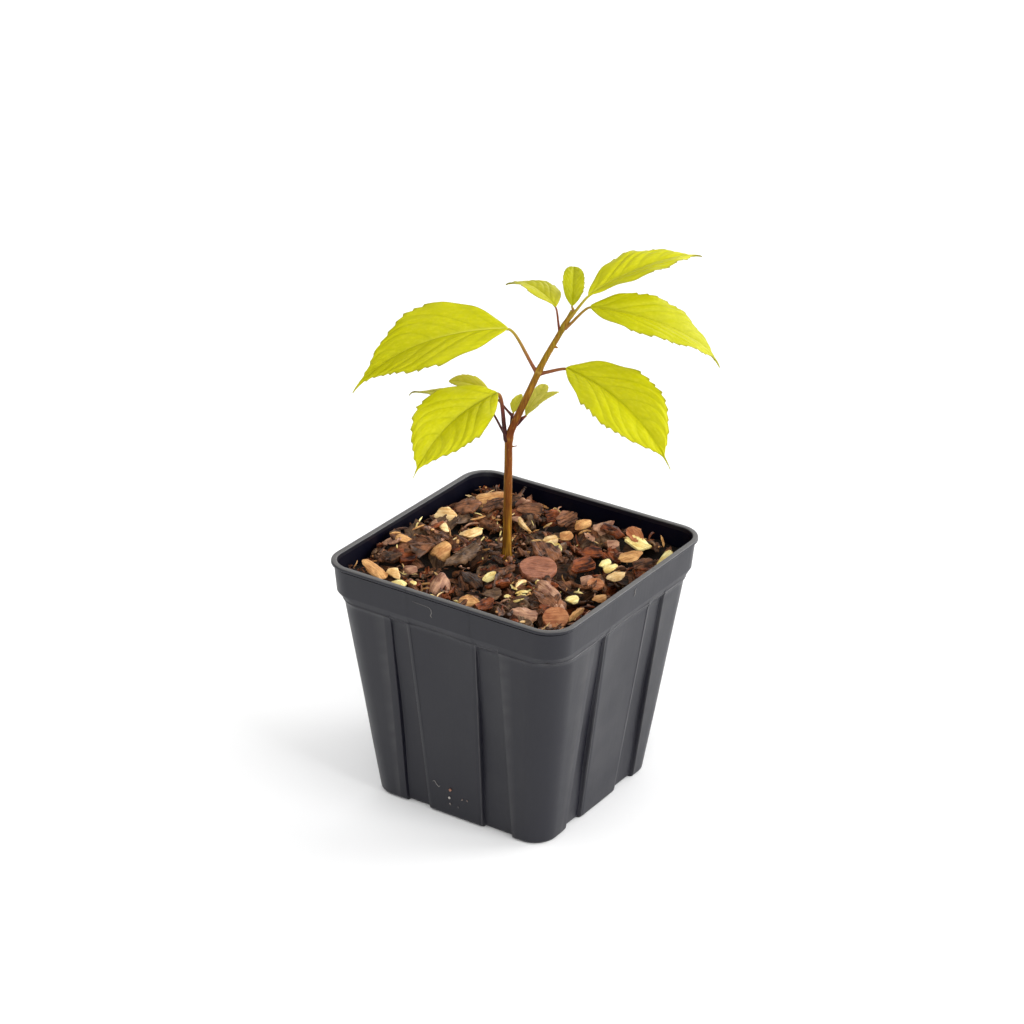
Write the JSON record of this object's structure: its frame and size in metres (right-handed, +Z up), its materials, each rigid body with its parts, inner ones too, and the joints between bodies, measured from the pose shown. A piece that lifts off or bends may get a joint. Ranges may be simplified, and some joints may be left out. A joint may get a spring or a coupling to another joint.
{
  "type": "young beautyberry shrub in nursery pot",
  "caption": "Young beautyberry shrub in a square black nursery pot: a leaning stem with opposite pairs of lime-green drip-tipped leaves, rooted in coarse bark potting mix.",
  "frame": {"origin": "centre of the pot's flat underside", "axes": "+Z up from the ground to the shrub's tip; the pot's faces are square to X and Y, and the shrub leans towards +X and +Y"},
  "size_m": [0.1007, 0.0988, 0.175],
  "materials": {
    "pot_plastic": "semi-matt black moulded plastic",
    "bark_mix": "coarse composted bark with pale wood chips",
    "stem_bark": "smooth young bark, red-brown to golden",
    "leaf_green": "soft lime-green leaf with raised veins"
  },
  "bodies": {
    "root": {"pot": "pot_plastic", "potting_mix": "bark_mix", "stem": "stem_bark", "leaf_upper_left": "leaf_green", "leaf_middle_right": "leaf_green", "leaf_lower_front": "leaf_green", "leaf_lower_back": "leaf_green", "leaf_upper_right": "leaf_green", "leaf_top_left": "leaf_green", "leaf_top_right": "leaf_green", "leaf_tip": "leaf_green", "side_shoot_left": "leaf_green", "side_shoot_right": "leaf_green"}
  },
  "joints": []
}
